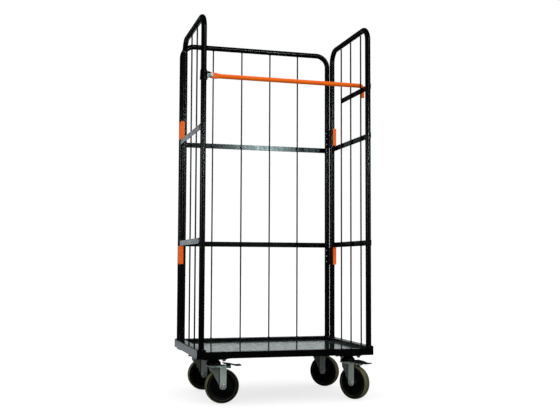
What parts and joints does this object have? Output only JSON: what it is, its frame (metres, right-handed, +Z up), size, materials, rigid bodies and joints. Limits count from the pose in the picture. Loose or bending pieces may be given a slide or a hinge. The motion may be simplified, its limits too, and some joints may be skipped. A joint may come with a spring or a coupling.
{
  "type": "roll cage container",
  "caption": "Three-sided tubular steel roll cage on a folding deck with swivel castors, orange corner hinges and an orange tie bar across the open front.",
  "frame": {"origin": "on the floor, under the centre of the bounding box", "axes": "+Z up, -Y towards the open loading side, +Y towards the back panel, +X to the right of someone loading it"},
  "size_m": [0.816, 0.6142, 1.7],
  "materials": {
    "black_powder_coat": "gloss",
    "deck_paint": "gloss",
    "orange_paint": "satin",
    "zinc_plate": "satin",
    "bright_steel": "polished",
    "wheel_core": "satin",
    "tyre_rubber": "matte",
    "black_plastic": "satin"
  },
  "bodies": {
    "cage": {"left_side_frame": "black_powder_coat", "right_side_frame": "black_powder_coat", "back_frame": "black_powder_coat", "left_rod_1": "black_powder_coat", "left_rod_2": "black_powder_coat", "left_rod_3": "black_powder_coat", "right_rod_1": "black_powder_coat", "right_rod_2": "black_powder_coat", "right_rod_3": "black_powder_coat", "back_rod_1": "black_powder_coat", "back_rod_2": "black_powder_coat", "back_rod_3": "black_powder_coat", "back_rod_4": "black_powder_coat", "left_upper_bar": "black_powder_coat", "left_lower_bar": "black_powder_coat", "right_upper_bar": "black_powder_coat", "right_lower_bar": "black_powder_coat", "back_upper_bar": "black_powder_coat", "back_lower_bar": "black_powder_coat", "right_hook_bar": "black_powder_coat", "left_base_beam": "black_powder_coat", "right_base_beam": "black_powder_coat", "rear_cross_rail": "black_powder_coat", "left_upper_side_leaf": "orange_paint", "left_upper_back_leaf": "black_powder_coat", "left_lower_side_leaf": "orange_paint", "left_lower_back_leaf": "black_powder_coat", "right_upper_side_leaf": "orange_paint", "right_upper_back_leaf": "black_powder_coat", "right_lower_side_leaf": "orange_paint", "right_lower_back_leaf": "black_powder_coat", "tie_bar_collar": "black_powder_coat", "tie_bar_bolt": "bright_steel", "caster_plate_fl": "black_powder_coat", "caster_plate_fr": "black_powder_coat", "caster_plate_rl": "black_powder_coat", "caster_plate_rr": "black_powder_coat"},
    "deck": {"deck_panel": "deck_paint"},
    "tie_bar": {"tie_bar": "orange_paint"},
    "caster_fl": {"caster_fork_fl": "zinc_plate", "caster_axle_fl": "bright_steel", "brake_bracket_fl": "zinc_plate"},
    "wheel_fl": {"wheel_core_fl": "wheel_core", "wheel_tyre_fl": "tyre_rubber"},
    "brake_pedal_fl": {"brake_pedal_fl": "black_plastic"},
    "caster_fr": {"caster_fork_fr": "zinc_plate", "caster_axle_fr": "bright_steel", "brake_bracket_fr": "zinc_plate"},
    "wheel_fr": {"wheel_core_fr": "wheel_core", "wheel_tyre_fr": "tyre_rubber"},
    "brake_pedal_fr": {"brake_pedal_fr": "black_plastic"},
    "caster_rl": {"caster_fork_rl": "zinc_plate", "caster_axle_rl": "bright_steel"},
    "wheel_rl": {"wheel_core_rl": "wheel_core", "wheel_tyre_rl": "tyre_rubber"},
    "caster_rr": {"caster_fork_rr": "zinc_plate", "caster_axle_rr": "bright_steel"},
    "wheel_rr": {"wheel_core_rr": "wheel_core", "wheel_tyre_rr": "tyre_rubber"}
  },
  "joints": [
    {"name": "deck_fold", "type": "hinge", "parent": "cage", "child": "deck", "pos_m": [-0.00798, 0.26306, 0.22], "axis": [-1, 0, 0], "range_deg": [0, 90]},
    {"name": "tie_bar_lift", "type": "hinge", "parent": "cage", "child": "tie_bar", "pos_m": [-0.35445, -0.26931, 1.42], "axis": [0.1656, -0.9862, 0], "range_deg": [0, 90]},
    {"name": "caster_fl_swivel", "type": "hinge", "parent": "cage", "child": "caster_fl", "pos_m": [-0.31798, -0.19494, 0.17], "axis": [0, 0, 1], "continuous": true},
    {"name": "wheel_fl_spin", "type": "hinge", "parent": "caster_fl", "child": "wheel_fl", "pos_m": [-0.27998, -0.19494, 0.075], "axis": [0, 1, 0], "continuous": true},
    {"name": "brake_fl_press", "type": "hinge", "parent": "caster_fl", "child": "brake_pedal_fl", "pos_m": [-0.25198, -0.19494, 0.158], "axis": [0, 1, 0], "range_deg": [0, 16]},
    {"name": "caster_fr_swivel", "type": "hinge", "parent": "cage", "child": "caster_fr", "pos_m": [0.30202, -0.19494, 0.17], "axis": [0, 0, 1], "continuous": true},
    {"name": "wheel_fr_spin", "type": "hinge", "parent": "caster_fr", "child": "wheel_fr", "pos_m": [0.32232, -0.22706, 0.075], "axis": [0.8453, 0.5344, 0], "continuous": true},
    {"name": "brake_fr_press", "type": "hinge", "parent": "caster_fr", "child": "brake_pedal_fr", "pos_m": [0.33729, -0.25073, 0.158], "axis": [0.8453, 0.5344, 0], "range_deg": [0, 16]},
    {"name": "caster_rl_swivel", "type": "hinge", "parent": "cage", "child": "caster_rl", "pos_m": [-0.31798, 0.23106, 0.17], "axis": [0, 0, 1], "continuous": true},
    {"name": "wheel_rl_spin", "type": "hinge", "parent": "caster_rl", "child": "wheel_rl", "pos_m": [-0.27998, 0.23106, 0.075], "axis": [0, 1, 0], "continuous": true},
    {"name": "caster_rr_swivel", "type": "hinge", "parent": "cage", "child": "caster_rr", "pos_m": [0.30202, 0.23106, 0.17], "axis": [0, 0, 1], "continuous": true},
    {"name": "wheel_rr_spin", "type": "hinge", "parent": "caster_rr", "child": "wheel_rr", "pos_m": [0.32889, 0.20419, 0.075], "axis": [0.7071, 0.7071, 0], "continuous": true}
  ]
}
